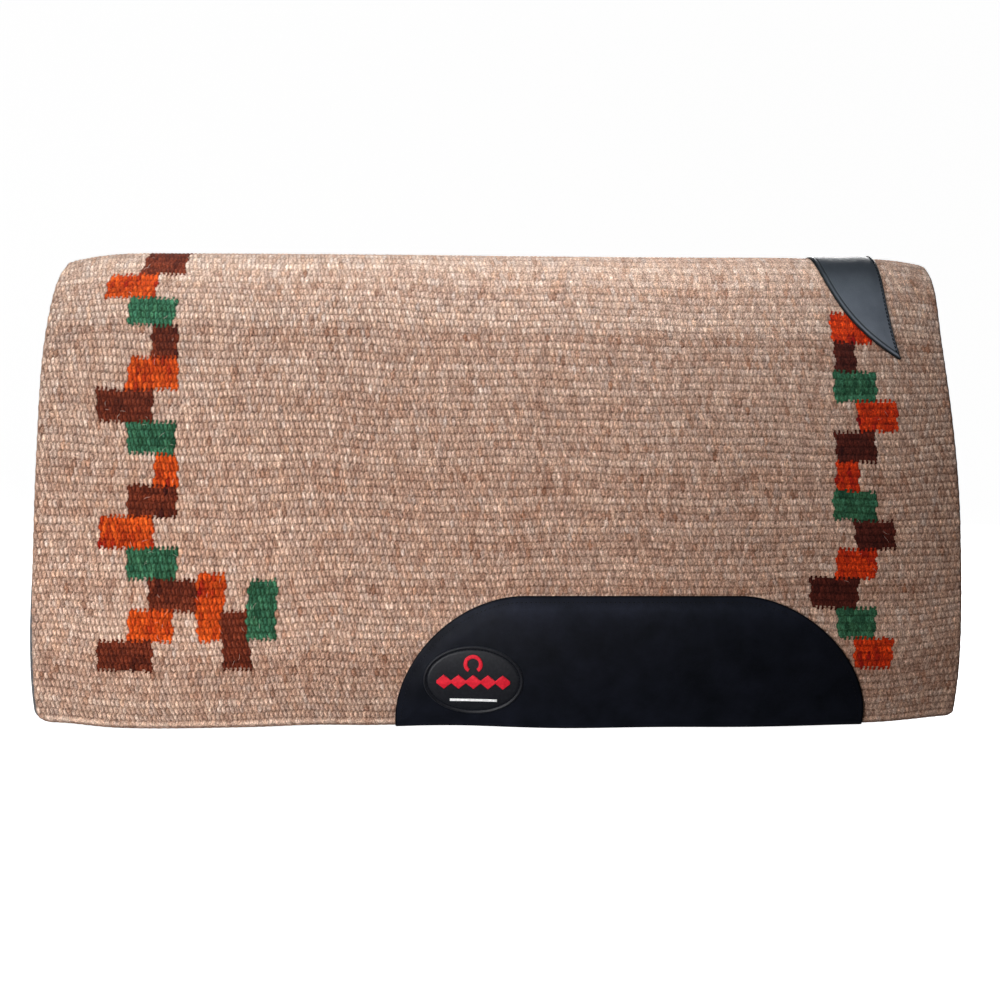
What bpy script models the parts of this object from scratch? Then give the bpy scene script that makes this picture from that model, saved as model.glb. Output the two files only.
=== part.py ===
"""Western saddle pad, folded over its spine and standing on its two lower edges.

Metres, +Z up. X runs along the spine with the withers (front) at +X, and the near side of the pad faces -Y.
The origin is on the standing surface, under the middle of the pad.

Every layer follows one cross-section, the fall of the pad's outer surface from the spine to the lower edge.
The pad folds at the spine, so each layer is a near half and an off half, joined by a hinge along the spine.
"""
import math

import bmesh
import bpy
from mathutils import Vector

# The pad
LENGTH = 0.8382  # front to back, 33 in
DROP = 0.4826  # from the spine to the lower edge along the outer surface, 19 in
BLANKET_THICKNESS = 0.005
FELT_THICKNESS = 0.012
GAP = 0.0003  # between pieces that touch
CORNER_RADIUS = 0.016  # of the pad's lower corners

# The fall of the outer surface: its tilt from vertical, in degrees, against the distance from the spine
SPINE_FLAT = 0.006  # half the width of the level strip along the spine
FOLD_REACH = 0.021  # how fast the tight fold at the spine dies away
FLARE = 28.0  # tilt that the sides keep beside the fold
FLARE_END = 0.38  # distance from the spine at which the sides hang plumb
TUCK = 20.0  # how far the lower edge curls in
TUCK_START = 0.35
SECTION_POINTS = 26  # along one side
SECTION_CROWDING = 1.6  # more points near the spine, where the bend is tight
WALK_STEPS = 2000  # steps that add up the fall

# The split between the near half and the off half
SPLIT_GAP = 0.0004  # half the gap at the top of the spine
CLOSING_RANGE = 12.0  # degrees that the halves fold together from rest

# Leathers
LEATHER = 0.0025  # thickness
WEAR_CENTRE_X = 0.122  # middle of the wear leather, ahead of the pad's middle
WEAR_HALF_WIDTH = 0.214
WEAR_HEIGHT = 0.1225
WEAR_LIFT = 0.0010  # of its lower edge off the standing surface
WEAR_CORNER = 0.117  # radius of its upper corners
WITHER_FRONT_X = 0.3665  # front edge of the wither leather at the spine
WITHER_REAR_X = 0.3095
WITHER_TIP_X = 0.373
WITHER_DROP = 0.105  # height of the spine above its points
WITHER_BULGE = 0.012  # of its rear edge, backwards
WITHER_HOLLOW = 0.003  # of its front edge, backwards
ARC_POINTS = 14  # on a rounded corner or a bowed edge

# Label on the near wear leather
LABEL_X = -0.0203  # its centre
LABEL_Z = 0.0457
LABEL_HALF_WIDTH = 0.0443
LABEL_HALF_HEIGHT = 0.0308
LABEL_THICKNESS = 0.0022
LABEL_POINTS = 48
EMBLEM_LIFT = 0.0155  # of the emblem's centre above the label's
EMBLEM_RADIUS = 0.0070  # of the horseshoe's centre line
EMBLEM_WIDTH = 0.0034
EMBLEM_OPENING = 70.0  # degrees between its heels
DIAMONDS = 5  # joined in a band across the label
DIAMONDS_DROP = 0.0010  # of the band's middle below the label's
DIAMONDS_HALF_WIDTH = 0.0335
DIAMOND_HALF_HEIGHT = 0.0066
DIAMOND_NECK = 0.0012  # half the band's height where two diamonds meet
LINE_DROP = 0.0183  # of the thin line's middle below the label's
LINE_HALF_WIDTH = 0.0215
LINE_HALF_HEIGHT = 0.0011
INLAY_THICKNESS = 0.0008

# Threads, each one continuous
THREAD_RADIUS = 0.0006
WEAR_STITCH_INSET = 0.0050
WITHER_STITCH_INSET = 0.0042
LABEL_STITCH_INSET = 0.0030

FELT_COLOUR = (0.105, 0.105, 0.11)
BLANKET_COLOUR = (0.42, 0.27, 0.21)
WEAR_COLOUR = (0.012, 0.013, 0.017)
WITHER_COLOUR = (0.085, 0.095, 0.115)
LABEL_COLOUR = (0.02, 0.02, 0.022)
RED_COLOUR = (0.60, 0.03, 0.05)
WHITE_COLOUR = (0.80, 0.80, 0.80)
THREAD_COLOUR = (0.03, 0.03, 0.035)


def tilt(s):
    """Tilt of the outer surface from vertical, in radians, at distance s from the spine."""
    if s < SPINE_FLAT:
        return math.radians(90.0)
    past = s - SPINE_FLAT
    fold = (90.0 - FLARE) * math.exp(-past / FOLD_REACH)
    flare = FLARE * (1.0 - past / FLARE_END)
    tuck = TUCK * max(0.0, (s - TUCK_START) / (DROP - TUCK_START)) ** 2
    return math.radians(fold + flare - tuck)


def walk():
    """The fall as (s, out, down) from the spine's top, out being the distance from the middle plane."""
    step = DROP / WALK_STEPS
    out = down = 0.0
    places = [(0.0, 0.0, 0.0)]
    for i in range(WALK_STEPS):
        angle = tilt((i + 0.5) * step)
        out += math.sin(angle) * step
        down += math.cos(angle) * step
        places.append(((i + 1) * step, out, down))
    return places


FALL = walk()
HEIGHT = FALL[-1][2]


def section_distances():
    """Distances from the spine of the section's points: the level strip's edge, then ever wider steps."""
    spread = [(i / SECTION_POINTS) ** SECTION_CROWDING for i in range(1, SECTION_POINTS + 1)]
    return [0.0, SPINE_FLAT] + [SPINE_FLAT + (DROP - SPINE_FLAT) * part for part in spread]


def outer_line():
    """The outer surface as (out, z) points from the spine to the lower edge."""
    points = []
    for s in section_distances():
        _, out, down = FALL[round(s / DROP * WALK_STEPS)]
        points.append(Vector((out, HEIGHT - down)))
    return points


def offset_line(points, inset):
    """The line moved inwards by inset, mitred at its points, and ended level with the outer line's end."""
    moved = []
    for i, point in enumerate(points):
        before = (point - points[i - 1]).normalized() if i else Vector((1.0, 0.0))
        after = (points[i + 1] - point).normalized() if i + 1 < len(points) else before
        normals = [Vector((d.y, -d.x)) for d in (before, after)]
        middle = (normals[0] + normals[1]).normalized()
        moved.append(point + middle * (inset / middle.dot(normals[0])))
    last, previous = moved[-1], moved[-2]
    moved[-1] = last + (last - previous) * ((points[-1].y - last.y) / (last.y - previous.y))
    return moved


def layer_outline(outside, inside):
    """Closed outline between two depths under the outer surface, ended by the slanted split at the spine."""
    line = outer_line()
    outer, inner = offset_line(line, outside), offset_line(line, inside)
    for row in (outer, inner):
        depth = HEIGHT + LEATHER + GAP - row[0].y
        row[0].x = SPLIT_GAP + depth * math.tan(math.radians(CLOSING_RANGE / 2))
    return outer + inner[::-1]


def prism(name, outline, axis, low, high):
    """A solid from a closed outline. Along X the outline is (y, z), and along Y it is (x, z)."""
    mesh = bpy.data.meshes.new(name)
    bm = bmesh.new()
    if axis == "X":
        corners = [bm.verts.new((low, a, b)) for a, b in outline]
        way = Vector((high - low, 0.0, 0.0))
    else:
        corners = [bm.verts.new((a, low, b)) for a, b in outline]
        way = Vector((0.0, high - low, 0.0))
    face = bm.faces.new(corners)
    pushed = bmesh.ops.extrude_face_region(bm, geom=[face])
    moving = [item for item in pushed["geom"] if isinstance(item, bmesh.types.BMVert)]
    bmesh.ops.translate(bm, verts=moving, vec=way)
    bmesh.ops.recalc_face_normals(bm, faces=bm.faces)
    bm.to_mesh(mesh)
    bm.free()
    piece = bpy.data.objects.new(name, mesh)
    PAD.objects.link(piece)
    return piece


def layer(name, side, outside, inside, half_length=LENGTH / 2):
    """One half of a layer, on the near side (side -1) or the off side (side +1)."""
    outline = [(side * point.x, point.y) for point in layer_outline(outside, inside)]
    return prism(name, outline, "X", -half_length, half_length)


def trim(piece, name, outline, side):
    """Keeps what lies inside an (x, z) outline on one side of the pad."""
    cutter = prism(name, outline, "Y", 0.0, side * 0.4)
    PAD.objects.unlink(cutter)
    CUTTERS.objects.link(cutter)
    cutter.hide_render = True
    cutter.display_type = "WIRE"
    cut = piece.modifiers.new("trim", "BOOLEAN")
    cut.operation = "INTERSECT"
    cut.solver = "EXACT"
    cut.object = cutter


def arc(centre, radius, start, end, points=ARC_POINTS):
    """Points of a circular arc, with its angles in degrees."""
    angles = [math.radians(start + (end - start) * i / points) for i in range(points + 1)]
    return [(centre[0] + radius * math.cos(a), centre[1] + radius * math.sin(a)) for a in angles]


def bowed(start, end, bulge):
    """Points from start to end on a shallow arc that leans bulge to the right of its way."""
    (ax, az), (bx, bz) = start, end
    long = math.hypot(bx - ax, bz - az)
    across = ((bz - az) / long, -(bx - ax) / long)
    points = []
    for i in range(ARC_POINTS + 1):
        part = i / ARC_POINTS
        lean = 4.0 * bulge * part * (1.0 - part)
        points.append((ax + (bx - ax) * part + across[0] * lean, az + (bz - az) * part + across[1] * lean))
    return points


def pad_outline():
    """The pad seen from the side, with its two lower corners rounded."""
    half, top = LENGTH / 2 + GAP, HEIGHT + 0.05
    inset = LENGTH / 2 - CORNER_RADIUS
    right = arc((inset, CORNER_RADIUS), CORNER_RADIUS, -90.0, 0.0)
    left = arc((-inset, CORNER_RADIUS), CORNER_RADIUS, 180.0, 270.0)
    return right + [(half, top), (-half, top)] + left


def wear_outline(inset):
    """The wear leather seen from the side: flat below, with large round upper corners."""
    half, bottom, top = WEAR_HALF_WIDTH - inset, WEAR_LIFT, WEAR_LIFT + WEAR_HEIGHT - inset
    radius = WEAR_CORNER - inset
    inner = half - radius
    right = arc((WEAR_CENTRE_X + inner, top - radius), radius, 0.0, 90.0)
    left = arc((WEAR_CENTRE_X - inner, top - radius), radius, 90.0, 180.0)
    return [(WEAR_CENTRE_X + half, bottom)] + right + left + [(WEAR_CENTRE_X - half, bottom)]


def wither_edges(inset):
    """The wither leather's rear edge, spine to point, and its front edge, point to spine."""
    top, tip = HEIGHT + 0.004, (WITHER_TIP_X - 0.4 * inset, HEIGHT - WITHER_DROP + 5.0 * inset)
    rear = bowed((WITHER_REAR_X + inset, top), tip, WITHER_BULGE)
    front = bowed(tip, (WITHER_FRONT_X - inset, top), -WITHER_HOLLOW)
    return rear, front


def ellipse(inset):
    """The label's outline, made smaller by inset."""
    wide, high = LABEL_HALF_WIDTH - inset, LABEL_HALF_HEIGHT - inset
    angles = [2.0 * math.pi * i / LABEL_POINTS for i in range(LABEL_POINTS)]
    return [(LABEL_X + wide * math.cos(a), LABEL_Z + high * math.sin(a)) for a in angles]


def horseshoe():
    """A horseshoe with its heels down, the label's emblem."""
    centre = (LABEL_X, LABEL_Z + EMBLEM_LIFT)
    start, end = -90.0 + EMBLEM_OPENING / 2, 270.0 - EMBLEM_OPENING / 2
    outside = arc(centre, EMBLEM_RADIUS + EMBLEM_WIDTH / 2, start, end, 2 * ARC_POINTS)
    inside = arc(centre, EMBLEM_RADIUS - EMBLEM_WIDTH / 2, end, start, 2 * ARC_POINTS)
    return outside + inside


def diamonds():
    """The label's band of joined diamonds."""
    step = DIAMONDS_HALF_WIDTH / DIAMONDS
    heights = [DIAMOND_HALF_HEIGHT if i % 2 else DIAMOND_NECK for i in range(2 * DIAMONDS + 1)]
    xs = [LABEL_X - DIAMONDS_HALF_WIDTH + step * i for i in range(2 * DIAMONDS + 1)]
    z = LABEL_Z - DIAMONDS_DROP
    above = [(x, z + high) for x, high in zip(xs, heights)]
    below = [(x, z - high) for x, high in zip(xs, heights)]
    return below + above[::-1]


def line():
    """The thin line under the band."""
    x, z, wide, high = LABEL_X, LABEL_Z - LINE_DROP, LINE_HALF_WIDTH, LINE_HALF_HEIGHT
    return [(x - wide, z - high), (x + wide, z - high), (x + wide, z + high), (x - wide, z + high)]


def skin(height):
    """The outer surface raised by height, as (out, z) points."""
    return offset_line(outer_line(), -height)


def surface_out(z, height):
    """How far out the surface raised by height lies at level z."""
    line = skin(height)
    for upper, lower in zip(line, line[1:]):
        if lower.y <= z <= upper.y:
            part = (upper.y - z) / (upper.y - lower.y)
            return upper.x + (lower.x - upper.x) * part
    return line[-1].x


def thread(name, outline, side, height, closed=False):
    """A thread that lies along an (x, z) outline on the surface raised by height."""
    curve = bpy.data.curves.new(name, "CURVE")
    curve.dimensions = "3D"
    curve.bevel_depth = THREAD_RADIUS
    curve.bevel_resolution = 1
    curve.use_fill_caps = not closed
    lift = height + THREAD_RADIUS + GAP
    spline = curve.splines.new("POLY")
    spline.points.add(len(outline) - 1)
    for point, (x, z) in zip(spline.points, outline):
        point.co = (x, side * surface_out(z, lift), z, 1.0)
    spline.use_cyclic_u = closed
    piece = bpy.data.objects.new(name, curve)
    PAD.objects.link(piece)
    return piece


def paint(piece, colour, roughness):
    """Gives a piece its own Principled material."""
    material = bpy.data.materials.new(piece.name)
    material.use_nodes = True
    shader = material.node_tree.nodes["Principled BSDF"]
    shader.inputs["Base Color"].default_value = (*colour, 1.0)
    shader.inputs["Roughness"].default_value = roughness
    shader.inputs["Metallic"].default_value = 0.0
    piece.data.materials.append(material)


def even(outline, step=0.006):
    """The outline with extra points, so that a thread on it follows the curved surface."""
    points = []
    for (ax, az), (bx, bz) in zip(outline, outline[1:]):
        count = max(1, round(math.hypot(bx - ax, bz - az) / step))
        points += [(ax + (bx - ax) * i / count, az + (bz - az) * i / count) for i in range(count)]
    return points + [outline[-1]]


def build_half(word, side):
    """The layers, leathers and threads of one side. Depths are under the outer surface, heights above it."""
    felt = layer(word + "_felt", side, BLANKET_THICKNESS + GAP, BLANKET_THICKNESS + GAP + FELT_THICKNESS)
    trim(felt, word + "_felt_trim", pad_outline(), side)
    paint(felt, FELT_COLOUR, 1.0)

    blanket = layer(word + "_blanket", side, 0.0, BLANKET_THICKNESS)
    trim(blanket, word + "_blanket_trim", pad_outline(), side)
    paint(blanket, BLANKET_COLOUR, 0.95)

    wear = layer(word + "_wear_leather", side, -GAP - LEATHER, -GAP)
    trim(wear, word + "_wear_trim", wear_outline(0.0), side)
    paint(wear, WEAR_COLOUR, 0.5)

    wear_seam = even(wear_outline(WEAR_STITCH_INSET)[1:-1])
    paint(thread(word + "_wear_thread", wear_seam, side, GAP + LEATHER), THREAD_COLOUR, 0.7)

    wither = layer(word + "_wither_leather", side, -GAP - LEATHER, -GAP)
    rear, front = wither_edges(0.0)
    trim(wither, word + "_wither_trim", rear + front[1:], side)
    paint(wither, WITHER_COLOUR, 0.6)

    rear, front = wither_edges(WITHER_STITCH_INSET)
    seam = [point for point in even(rear + front[1:]) if point[1] < HEIGHT - WITHER_STITCH_INSET]
    paint(thread(word + "_wither_thread", seam, side, GAP + LEATHER), THREAD_COLOUR, 0.7)


def build_label():
    """The moulded label on the near wear leather, with its three coloured inlays and its thread."""
    under = 2 * GAP + LEATHER
    patch = layer("label_patch", -1, -under - LABEL_THICKNESS, -under, WEAR_HALF_WIDTH)
    trim(patch, "label_trim", ellipse(0.0), -1)
    paint(patch, LABEL_COLOUR, 0.55)

    top = under + LABEL_THICKNESS
    inlays = [
        ("label_emblem", horseshoe(), RED_COLOUR),
        ("label_diamonds", diamonds(), RED_COLOUR),
        ("label_line", line(), WHITE_COLOUR),
    ]
    for name, outline, colour in inlays:
        inlay = layer(name, -1, -top - GAP - INLAY_THICKNESS, -top - GAP, WEAR_HALF_WIDTH)
        trim(inlay, name + "_trim", outline, -1)
        paint(inlay, colour, 0.5)

    paint(thread("label_thread", ellipse(LABEL_STITCH_INSET), -1, top, closed=True), THREAD_COLOUR, 0.7)


def collection(name):
    group = bpy.data.collections.new(name)
    bpy.context.scene.collection.children.link(group)
    return group


for old in list(bpy.data.objects):
    bpy.data.objects.remove(old, do_unlink=True)

PAD = collection("saddle_pad")
CUTTERS = collection("cutters")
build_half("near", -1)
build_half("off", 1)
build_label()
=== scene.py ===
"""The looks of a folded western saddle pad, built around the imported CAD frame.

Metres, +Z up. X runs along the spine with the withers at +X, and the near side faces -Y.
Every soft layer lies on one draped surface. A place on it is (u, t, h): u along the spine, t the distance
from the spine over the cloth, negative on the near side, and h the height above the blanket's mean surface.
Where the side doesn't matter, s is that distance without its sign.
"""
import math

import bmesh
import bpy
import numpy as np
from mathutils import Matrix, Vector


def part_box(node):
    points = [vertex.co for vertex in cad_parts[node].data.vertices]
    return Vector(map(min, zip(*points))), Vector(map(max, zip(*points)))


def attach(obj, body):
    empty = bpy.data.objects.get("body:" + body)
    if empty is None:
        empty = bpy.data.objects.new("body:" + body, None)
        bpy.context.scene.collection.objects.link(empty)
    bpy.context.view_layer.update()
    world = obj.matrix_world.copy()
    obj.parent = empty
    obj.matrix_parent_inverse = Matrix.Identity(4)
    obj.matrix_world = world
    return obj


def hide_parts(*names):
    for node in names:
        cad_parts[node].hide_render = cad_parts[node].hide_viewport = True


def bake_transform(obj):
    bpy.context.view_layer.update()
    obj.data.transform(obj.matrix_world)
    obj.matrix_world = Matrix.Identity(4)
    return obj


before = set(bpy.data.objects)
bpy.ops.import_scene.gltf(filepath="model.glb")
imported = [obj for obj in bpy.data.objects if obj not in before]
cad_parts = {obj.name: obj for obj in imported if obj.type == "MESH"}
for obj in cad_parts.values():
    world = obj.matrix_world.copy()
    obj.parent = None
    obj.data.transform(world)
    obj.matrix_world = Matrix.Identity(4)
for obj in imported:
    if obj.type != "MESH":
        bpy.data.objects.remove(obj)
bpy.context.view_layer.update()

(REAR_X, _, _), (FRONT_X, _, HEIGHT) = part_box("near_blanket")
LENGTH = FRONT_X - REAR_X
DROP = 0.4826
NEAR, OFF = -1, 1
SIDES = (("near", NEAR), ("off", OFF))
SEED = 7

# Layers, as heights above the blanket's mean surface
FELT_TOP = -0.0052
FELT_BOTTOM = -0.0170
LEATHER_LOW, WEAR_TOP, WITHER_TOP = 0.0010, 0.0031, 0.0025
LABEL_LOW = 0.0033


def smooth(x):
    x = np.clip(x, 0.0, 1.0)
    return x * x * (3.0 - 2.0 * x)


def step(x, size, start, run):
    """Grows softly from 0 to size while x goes from start over run."""
    return size * smooth((x - start) / run)


def hump(x, size, middle, width):
    """A bell of this size around its middle."""
    return size * np.exp(-(((x - middle) / width) ** 2))


# ---- the draped surface

# The same fall as the CAD model's: degrees from vertical against distance from the spine
SPINE_FLAT, FOLD_REACH = 0.006, 0.021
FLARE, FLARE_END = 28.0, 0.38
TUCK, TUCK_START = 20.0, 0.35
WALK_STEPS = 4000
OVERRUN = 0.02  # the fall is known this far past the lower edge

# Waves of the cloth: height, length along the spine, phase, and how far the phase differs between the sides
SWAY_FADE = (1.0, 0.03, 0.17)  # the waves die out at the spine
LONG_WAVE = (0.0016, 0.37, 0.15, 0.2)
SHORT_WAVE = (0.0009, 0.19, 0.0, 1.3)
SHORT_WAVE_SLANT = 0.6

# Where the real pad leaves the CAD's plain shape: steps (size, start, run) and humps (size, middle, width)
END_DROOP, END_DROOP_START, END_DROOP_RUN = 0.0080, 0.35, 0.069
SPINE_SLOPE, SPINE_RAISE = (0.0045, -0.30, 0.55), 0.0032
LEATHER_DROOP = (0.0018, 0.335, 0.040)  # the spine is pressed down under the wither leather
DROOP_REACH = (1.0, 0.0, 0.10)
KICK_LOW, KICK_REAR = (0.0080, 0.28, 0.20), (1.0, 0.02, 0.18)
BEND, BEND_START, BEND_RUN, BEND_FADE = 0.0075, 0.27, 0.149, (1.0, 0.02, 0.10)
REAR_FOLD, REAR_BULGE, REAR_LOW = (0.0055, 0.0, 0.035), (0.0027, 0.125, 0.07), (0.0016, 0.40, 0.08)
FRONT_FOLD, FRONT_LOW = (0.0035, 0.0, 0.035), (0.0048, 0.08, 0.20)


def tilt(s):
    """Tilt of the surface from vertical, in radians, at distance s from the spine."""
    past = np.maximum(s - SPINE_FLAT, 0.0)
    fold = (90.0 - FLARE) * np.exp(-past / FOLD_REACH)
    flare = FLARE * (1.0 - past / FLARE_END)
    tuck = TUCK * np.maximum(0.0, (s - TUCK_START) / (DROP - TUCK_START)) ** 2
    return np.radians(np.where(s < SPINE_FLAT, 90.0, fold + flare - tuck))


def walk():
    """Tables of distance from the spine, distance out from the middle plane and height."""
    stride = (DROP + OVERRUN) / WALK_STEPS
    angle = tilt((np.arange(WALK_STEPS) + 0.5) * stride)
    out = np.insert(np.cumsum(np.sin(angle) * stride), 0, 0.0)
    down = np.insert(np.cumsum(np.cos(angle) * stride), 0, 0.0)
    return np.arange(WALK_STEPS + 1) * stride, out, HEIGHT - down


FALL_S, FALL_OUT, FALL_Z = walk()


def distance_at(z):
    """Distance from the spine at height z."""
    return np.interp(z, FALL_Z[::-1], FALL_S[::-1])


def sway(u, s, side):
    """Slow waves of the cloth along its normal."""
    size, length, phase, differs = LONG_WAVE
    long_wave = size * np.sin(2 * np.pi * (u / length + phase + differs * side))
    size, length, phase, differs = SHORT_WAVE
    short_wave = size * np.sin(2 * np.pi * (u / length - s / SHORT_WAVE_SLANT) + phase + differs * side)
    return step(s, *SWAY_FADE) * (long_wave + short_wave)


def droop(u, s):
    """How far the spine sinks towards its free ends, and a little from the rear to the middle."""
    ends = END_DROOP * (np.maximum(0.0, np.abs(u) - END_DROOP_START) / END_DROOP_RUN) ** 2
    slope = step(u, *SPINE_SLOPE) - SPINE_RAISE
    return (ends + slope + hump(u, *LEATHER_DROOP)) * hump(s, *DROOP_REACH)


def kick(u, s):
    """How far the rear lower part swings out."""
    return step(s, *KICK_LOW) * step(-u, *KICK_REAR)


def bend(u, s):
    """How far the front end turns in, away from the side's plane."""
    return BEND * np.maximum(0.0, (u - BEND_START) / BEND_RUN) ** 2 * step(s, *BEND_FADE)


def spread_out(u, s):
    """The ends draw in at the fold. Below it the rear one stands out first, and the front one lower down."""
    rear = hump(s, *REAR_BULGE) + step(s, *REAR_LOW) - hump(s, *REAR_FOLD)
    front = step(s, *FRONT_LOW) - hump(s, *FRONT_FOLD)
    share = u / (LENGTH / 2)
    return front * np.maximum(0.0, share) ** 2 - rear * np.maximum(0.0, -share) ** 2


def place(u, t, h):
    """World positions of places on the draped surface, as an array of (x, y, z)."""
    u, t, h = np.broadcast_arrays(np.asarray(u, float), np.asarray(t, float), np.asarray(h, float))
    s, side = np.abs(t), np.where(t < 0.0, -1.0, 1.0)
    angle = tilt(s)
    lift = h + sway(u, s, side) - bend(u, s)
    out = np.interp(s, FALL_S, FALL_OUT) + np.cos(angle) * lift + kick(u, s)
    z = np.interp(s, FALL_S, FALL_Z) + np.sin(angle) * lift - droop(u, s)
    return np.stack([u + spread_out(u, s), side * out, z], axis=-1)


# ---- meshes


def make_object(name, verts, faces, material):
    mesh = bpy.data.meshes.new(name)
    faces = np.asarray(faces, np.int32)
    mesh.vertices.add(len(verts))
    mesh.vertices.foreach_set("co", np.asarray(verts, np.float32).ravel())
    mesh.loops.add(faces.size)
    mesh.loops.foreach_set("vertex_index", faces.ravel())
    mesh.polygons.add(len(faces))
    mesh.polygons.foreach_set("loop_start", np.arange(0, faces.size, faces.shape[1], dtype=np.int32))
    mesh.update(calc_edges=True)
    mesh.validate()
    mesh.polygons.foreach_set("use_smooth", np.full(len(faces), True))
    mesh.materials.append(material)
    piece = bpy.data.objects.new(name, mesh)
    bpy.context.scene.collection.objects.link(piece)
    return piece


def grid_faces(rows, columns, start=0, flipped=False):
    """Faces of a grid of vertices, numbered row by row from start."""
    j, i = np.meshgrid(np.arange(rows - 1), np.arange(columns - 1), indexing="ij")
    a = (start + j * columns + i).ravel()
    quads = np.stack([a, a + 1, a + columns + 1, a + columns], axis=1)
    return quads[:, ::-1] if flipped else quads


def bridge(ring, new):
    """Faces between two rings of vertices, from the second ring towards the first."""
    return np.stack([np.roll(ring, -1), ring, new, np.roll(new, -1)], axis=1)


def stacked(name, rings, material):
    """A closed piece from rings of positions, from its underside to the middle of its top."""
    count = len(rings[0])
    ids = [np.arange(count) + k * count for k in range(len(rings))]
    faces = [np.stack([a, np.roll(a, -1), np.roll(b, -1), b], axis=1) for a, b in zip(ids, ids[1:])]
    piece = make_object(name, np.concatenate(rings), np.concatenate(faces), material)
    close_ends(piece)
    return piece


def close_ends(piece):
    """Fills a mesh's open loops."""
    bm = bmesh.new()
    bm.from_mesh(piece.data)
    bmesh.ops.holes_fill(bm, edges=[e for e in bm.edges if e.is_boundary])
    bmesh.ops.recalc_face_normals(bm, faces=bm.faces)
    for face in bm.faces:
        face.smooth = True
    bm.to_mesh(piece.data)
    bm.free()


def loop_of(grid):
    """The values round the edge of a grid, once round."""
    return np.concatenate([grid[0, :-1], grid[:-1, -1], grid[-1, :0:-1], grid[:0:-1, 0]])


def outward(u, t):
    """Unit normals of a closed loop in (u, t) that runs anticlockwise."""
    du, dt = np.roll(u, -1) - np.roll(u, 1), np.roll(t, -1) - np.roll(t, 1)
    size = np.maximum(np.hypot(du, dt), 1e-9)
    return dt / size, -du / size


def shell(name, u, t, top, rim, material, bottom=None):
    """A layer from a grid of (u, t): its top, a rim of (outward, height) rings, and its underside."""
    rows, columns = u.shape
    top = np.broadcast_to(top, u.shape)
    verts = [place(u, t, top).reshape(-1, 3)]
    faces = [grid_faces(rows, columns)]
    ids = np.arange(rows * columns).reshape(rows, columns)
    ring, count = loop_of(ids), rows * columns
    edge_u, edge_t, edge_h = loop_of(u), loop_of(t), loop_of(top)
    out_u, out_t = outward(edge_u, edge_t)
    mean_h = edge_h.mean()
    for k, (out, height) in enumerate(rim):
        keep = 1.0 - (k + 1) / len(rim)
        verts.append(place(edge_u + out_u * out, edge_t + out_t * out, height + keep * (edge_h - mean_h)))
        new = np.arange(count, count + len(ring))
        faces.append(bridge(ring, new))
        ring, count = new, count + len(ring)
    if bottom is not None:
        verts.append(place(u, t, bottom).reshape(-1, 3))
        faces.append(grid_faces(rows, columns, count, flipped=True))
        faces.append(bridge(ring, loop_of(ids) + count))
    return make_object(name, np.concatenate(verts), np.concatenate(faces), material)


def point_attribute(piece, name, values):
    layer = piece.data.attributes.new(name, "FLOAT", "POINT")
    layer.data.foreach_set("value", np.asarray(values, np.float32))


def corner_colours(piece, name, colours):
    """Gives each face one colour."""
    layer = piece.data.color_attributes.new(name, "FLOAT_COLOR", "CORNER")
    sides = len(piece.data.loops) // len(piece.data.polygons)
    rgba = np.concatenate([colours, np.ones((len(colours), 1))], axis=1)
    layer.data.foreach_set("color", np.repeat(rgba, sides, axis=0).astype(np.float32).ravel())


def flat_map(piece, rows, columns, rings):
    """A map of the weave as a plain grid, with the rim's rings round it."""
    cell = 1.0 / (columns + 2 * rings - 1), 1.0 / (rows + 2 * rings - 1)
    j, i = np.meshgrid(np.arange(rows) + rings, np.arange(columns) + rings, indexing="ij")
    edge_j, edge_i = loop_of(j), loop_of(i)
    points = [np.stack([i, j], axis=-1).reshape(-1, 2)]
    middle = np.array([i.mean(), j.mean()])
    for ring in range(1, rings + 1):
        grow = 1.0 + 2.0 * ring / np.array([columns - 1, rows - 1])
        points.append(middle + (np.stack([edge_i, edge_j], axis=-1) - middle) * grow)
    flat = np.concatenate(points) * cell
    corner = np.zeros(len(piece.data.loops), np.int32)
    piece.data.loops.foreach_get("vertex_index", corner)
    piece.data.uv_layers.new(name="OFBake").data.foreach_set("uv", flat[corner].astype(np.float32).ravel())


# ---- the cut of the cloth

REAR_CORNER, FRONT_CORNER = 0.009, 0.004  # radii of the lower corners
MIDDLE_RISE = (0.0030, -0.165, 0.045)  # a hump
REAR_RISE, FRONT_RISE = (0.0040, 0.345, 0.06), (0.0080, 0.335, 0.10)  # steps
FELT_SHOWS = 0.0026  # how far the felt reaches past the blanket


def fold(piece):
    """Bakes a piece's transform into its mesh."""
    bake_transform(piece)
    return piece


def round_corners(u, t, half_u, half_t):
    """Pulls the corners of a rectangle of cloth in to arcs."""
    for radius, end in ((REAR_CORNER, -1), (FRONT_CORNER, 1)):
        a, b = end * u - (half_u - radius), np.abs(t) - (half_t - radius)
        inside = (a > 0) & (b > 0)
        bent_a = a * np.sqrt(np.maximum(0.0, 1.0 - b * b / (2 * radius * radius)))
        bent_b = b * np.sqrt(np.maximum(0.0, 1.0 - a * a / (2 * radius * radius)))
        u = np.where(inside, end * (half_u - radius + bent_a), u)
        t = np.where(inside, np.sign(t) * (half_t - radius + bent_b), t)
    return u, t


def hem_rise(u):
    """How much shorter the blanket hangs at u than at its lowest place, behind the wear leather."""
    return hump(u, *MIDDLE_RISE) + step(-u, *REAR_RISE) + step(u, *FRONT_RISE)


def felt_rise(u):
    """The felt hangs a little lower than the blanket and shows as a dark line."""
    return np.maximum(0.0, hem_rise(u) - FELT_SHOWS)


def cloth(half_u, half_t, columns, rows, rise):
    """A grid over the whole pad, with its corners rounded and its hem lifted."""
    u, t = np.meshgrid(np.linspace(-half_u, half_u, columns), np.linspace(-half_t, half_t, rows))
    u, t = round_corners(u, t, half_u, half_t)
    return u, t * (1.0 - rise(u) / half_t)
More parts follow.
